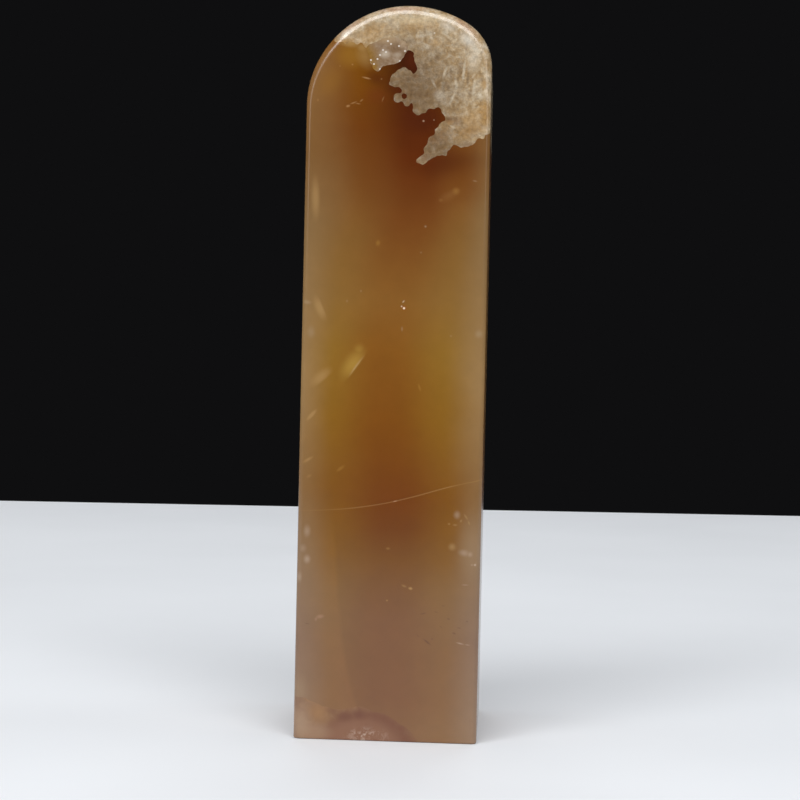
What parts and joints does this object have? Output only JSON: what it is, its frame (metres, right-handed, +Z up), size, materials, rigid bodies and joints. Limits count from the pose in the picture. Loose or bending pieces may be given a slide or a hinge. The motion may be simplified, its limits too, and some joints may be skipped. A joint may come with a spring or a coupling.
{
  "type": "seal stamp",
  "caption": "Square polished chalcedony seal stamp with an uneven arched top, a pale mineral crust at the crown and a cut face at the foot.",
  "frame": {"origin": "centre of the square seal face, on the surface that the stamp stands on", "axes": "+Z up along the stone, -Y towards the viewer of the picture, +X to the viewer's right"},
  "size_m": [0.02, 0.02, 0.08],
  "materials": {
    "honey_chalcedony": "polished",
    "seam_silica": "polished",
    "cream_rind": "polished",
    "grey_quartz": "polished",
    "mauve_cloud": "polished"
  },
  "bodies": {
    "root": {"upper_stone": "honey_chalcedony", "lower_stone": "honey_chalcedony", "healed_seam": "seam_silica", "cream_rind": "cream_rind", "quartz_patch": "grey_quartz", "base_cloud": "mauve_cloud"}
  },
  "joints": []
}
